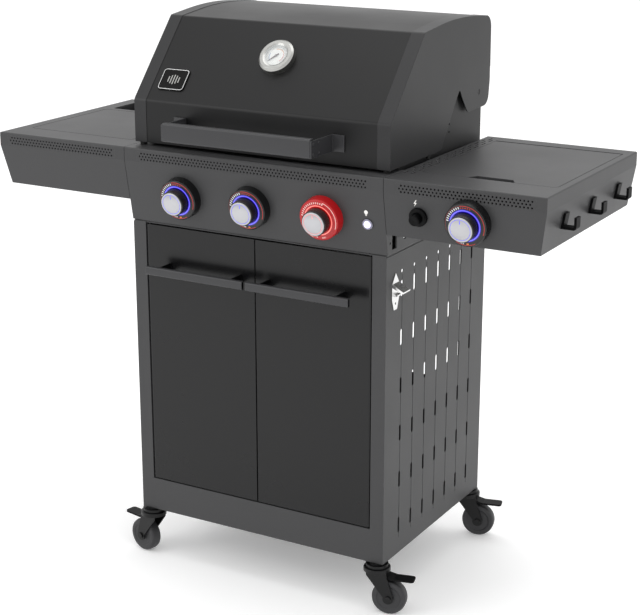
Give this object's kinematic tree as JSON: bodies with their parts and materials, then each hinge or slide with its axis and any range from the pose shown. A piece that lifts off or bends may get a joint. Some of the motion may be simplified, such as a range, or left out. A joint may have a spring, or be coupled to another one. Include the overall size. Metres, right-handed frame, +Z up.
{
  "type": "gas barbecue grill",
  "caption": "Free-standing gas barbecue grill with a hinged hood, a cabinet on casters, folding-out doors, control knobs, side shelves and a covered side burner.",
  "frame": {"origin": "bottom centre of the whole grill's bounding box, on the floor", "axes": "+X to the right as the cook faces the grill, +Y towards the back, +Z up"},
  "size_m": [1.323, 0.5689, 1.2194],
  "materials": {
    "cabinet_steel": "textured",
    "door_steel": "satin",
    "lid_skin": "gloss",
    "lid_caps": "satin",
    "handle_steel": "satin",
    "firebox_steel": "matte",
    "plain_steel": "satin",
    "cast_grate": "matte",
    "brass": "satin",
    "galvanised_pipe": "satin",
    "black_collar": "gloss",
    "red_collar": "gloss",
    "light_ring": "gloss",
    "knob_cap": "brushed",
    "bright_steel": "polished",
    "lit_button": "gloss",
    "black_plastic": "matte",
    "hook_steel": "matte",
    "needle": "matte",
    "badge": "gloss",
    "caster_black": "satin",
    "wheel_grey": "matte"
  },
  "bodies": {
    "cart": {"base_panel": "cabinet_steel", "front_frame": "cabinet_steel", "right_side_panel": "cabinet_steel", "left_side_panel": "cabinet_steel", "rear_panel": "cabinet_steel", "rear_top_rail": "cabinet_steel", "control_panel": "cabinet_steel", "vent_strips": "cabinet_steel", "knob_bezels": "black_collar", "knob_bezel_right": "red_collar", "knob_light_rings": "light_ring", "light_button_ring": "bright_steel", "igniter_bezel": "black_plastic", "gas_valves": "brass", "gas_manifold": "galvanised_pipe", "firebox": "firebox_steel", "burners": "plain_steel", "flame_tamers": "plain_steel", "cooking_grates": "cast_grate", "left_shelf": "cabinet_steel", "condiment_well": "cabinet_steel", "right_shelf": "cabinet_steel", "side_burner_bowl": "plain_steel", "side_burner_head": "brass", "side_burner_grate": "cast_grate", "utensil_hooks": "hook_steel", "bottle_opener": "bright_steel", "caster_stems": "caster_black", "panel_screws": "caster_black"},
    "left_door": {"left_door": "door_steel", "left_door_handle": "handle_steel"},
    "right_door": {"right_door": "door_steel", "right_door_handle": "handle_steel"},
    "lid": {"lid_shell": "lid_skin", "lid_end_caps": "lid_caps", "lid_handle": "handle_steel", "lid_handle_brackets": "handle_steel", "thermometer_case": "plain_steel", "lid_badge": "badge"},
    "thermometer_needle": {"thermometer_needle": "needle"},
    "knob_left": {"knob_left": "knob_cap"},
    "knob_middle": {"knob_middle": "knob_cap"},
    "knob_right": {"knob_right": "knob_cap"},
    "knob_side": {"knob_side": "knob_cap"},
    "light_button": {"light_button": "lit_button"},
    "igniter_button": {"igniter_button": "black_plastic"},
    "side_burner_cover": {"side_burner_cover": "cabinet_steel"},
    "grease_tray": {"grease_tray": "plain_steel"},
    "caster_fl": {"caster_fork_fl": "caster_black"},
    "wheel_fl": {"caster_wheel_fl": "wheel_grey"},
    "brake_fl": {"caster_brake_fl": "black_plastic"},
    "caster_fr": {"caster_fork_fr": "caster_black"},
    "wheel_fr": {"caster_wheel_fr": "wheel_grey"},
    "brake_fr": {"caster_brake_fr": "black_plastic"},
    "caster_rl": {"caster_fork_rl": "caster_black"},
    "wheel_rl": {"caster_wheel_rl": "wheel_grey"},
    "brake_rl": {"caster_brake_rl": "black_plastic"},
    "caster_rr": {"caster_fork_rr": "caster_black"},
    "wheel_rr": {"caster_wheel_rr": "wheel_grey"},
    "brake_rr": {"caster_brake_rr": "black_plastic"}
  },
  "joints": [
    {"name": "lid_hinge", "type": "hinge", "parent": "cart", "child": "lid", "pos_m": [-0.0115, 0.211, 1.0515], "axis": [-1, 0, 0], "range_deg": [0, 85]},
    {"name": "left_door_hinge", "type": "hinge", "parent": "cart", "child": "left_door", "pos_m": [-0.28, -0.2055, 0.487], "axis": [0, 0, -1], "range_deg": [0, 100]},
    {"name": "right_door_hinge", "type": "hinge", "parent": "cart", "child": "right_door", "pos_m": [0.257, -0.2055, 0.487], "axis": [0, 0, 1], "range_deg": [0, 100]},
    {"name": "thermometer_turn", "type": "hinge", "parent": "lid", "child": "thermometer_needle", "pos_m": [-0.0115, -0.11133, 1.14082], "axis": [0, 0.7486, -0.663], "range_deg": [0, 270], "stiffness_Nm_per_rad": 0.002},
    {"name": "side_cover_hinge", "type": "hinge", "parent": "cart", "child": "side_burner_cover", "pos_m": [0.4785, 0.2135, 0.943], "axis": [-1, 0, 0], "range_deg": [0, 95]},
    {"name": "light_button_press", "type": "slide", "parent": "cart", "child": "light_button", "axis": [0, 0.9848, 0.1736], "range_m": [0, 0.0015], "stiffness_N_per_m": 300, "springref_m": -0.002},
    {"name": "igniter_press", "type": "slide", "parent": "cart", "child": "igniter_button", "axis": [0, 0.9848, 0.1736], "range_m": [0, 0.006], "stiffness_N_per_m": 600, "springref_m": -0.003},
    {"name": "grease_tray_slide", "type": "slide", "parent": "cart", "child": "grease_tray", "axis": [0, 1, 0], "range_m": [0, 0.3]},
    {"name": "knob_left_turn", "type": "hinge", "parent": "cart", "child": "knob_left", "pos_m": [-0.1815, -0.22186, 0.853], "axis": [0, -0.9848, -0.1736], "range_deg": [0, 180]},
    {"name": "knob_middle_turn", "type": "hinge", "parent": "cart", "child": "knob_middle", "pos_m": [-0.0115, -0.22186, 0.853], "axis": [0, -0.9848, -0.1736], "range_deg": [0, 180]},
    {"name": "knob_right_turn", "type": "hinge", "parent": "cart", "child": "knob_right", "pos_m": [0.1585, -0.22186, 0.853], "axis": [0, -0.9848, -0.1736], "range_deg": [0, 180]},
    {"name": "knob_side_turn", "type": "hinge", "parent": "cart", "child": "knob_side", "pos_m": [0.4805, -0.22715, 0.883], "axis": [0, -0.9848, -0.1736], "range_deg": [0, 180]},
    {"name": "caster_fl_swivel", "type": "hinge", "parent": "cart", "child": "caster_fl", "pos_m": [-0.2995, -0.1995, 0.105], "axis": [0, 0, 1], "continuous": true},
    {"name": "wheel_fl_spin", "type": "hinge", "parent": "caster_fl", "child": "wheel_fl", "pos_m": [-0.32689, -0.19368, 0.0375], "axis": [-0.2079, -0.9781, 0], "continuous": true},
    {"name": "brake_fl_press", "type": "hinge", "parent": "caster_fl", "child": "brake_fl", "pos_m": [-0.31319, -0.19659, 0.087], "axis": [-0.2079, -0.9781, 0], "range_deg": [0, 5]},
    {"name": "caster_fr_swivel", "type": "hinge", "parent": "cart", "child": "caster_fr", "pos_m": [0.2765, -0.1995, 0.105], "axis": [0, 0, 1], "continuous": true},
    {"name": "wheel_fr_spin", "type": "hinge", "parent": "caster_fr", "child": "wheel_fr", "pos_m": [0.30367, -0.19273, 0.0375], "axis": [-0.2419, 0.9703, 0], "continuous": true},
    {"name": "brake_fr_press", "type": "hinge", "parent": "caster_fr", "child": "brake_fr", "pos_m": [0.29008, -0.19611, 0.087], "axis": [-0.2419, 0.9703, 0], "range_deg": [0, 5]},
    {"name": "caster_rl_swivel", "type": "hinge", "parent": "cart", "child": "caster_rl", "pos_m": [-0.2995, 0.2525, 0.105], "axis": [0, 0, 1], "continuous": true},
    {"name": "wheel_rl_spin", "type": "hinge", "parent": "caster_rl", "child": "wheel_rl", "pos_m": [-0.32655, 0.24525, 0.0375], "axis": [0.2588, -0.9659, 0], "continuous": true},
    {"name": "brake_rl_press", "type": "hinge", "parent": "caster_rl", "child": "brake_rl", "pos_m": [-0.31302, 0.24888, 0.087], "axis": [0.2588, -0.9659, 0], "range_deg": [0, 5]},
    {"name": "caster_rr_swivel", "type": "hinge", "parent": "cart", "child": "caster_rr", "pos_m": [0.2765, 0.2525, 0.105], "axis": [0, 0, 1], "continuous": true},
    {"name": "wheel_rr_spin", "type": "hinge", "parent": "caster_rr", "child": "wheel_rr", "pos_m": [0.30367, 0.25927, 0.0375], "axis": [-0.2419, 0.9703, 0], "continuous": true},
    {"name": "brake_rr_press", "type": "hinge", "parent": "caster_rr", "child": "brake_rr", "pos_m": [0.29008, 0.25589, 0.087], "axis": [-0.2419, 0.9703, 0], "range_deg": [0, 5]}
  ]
}
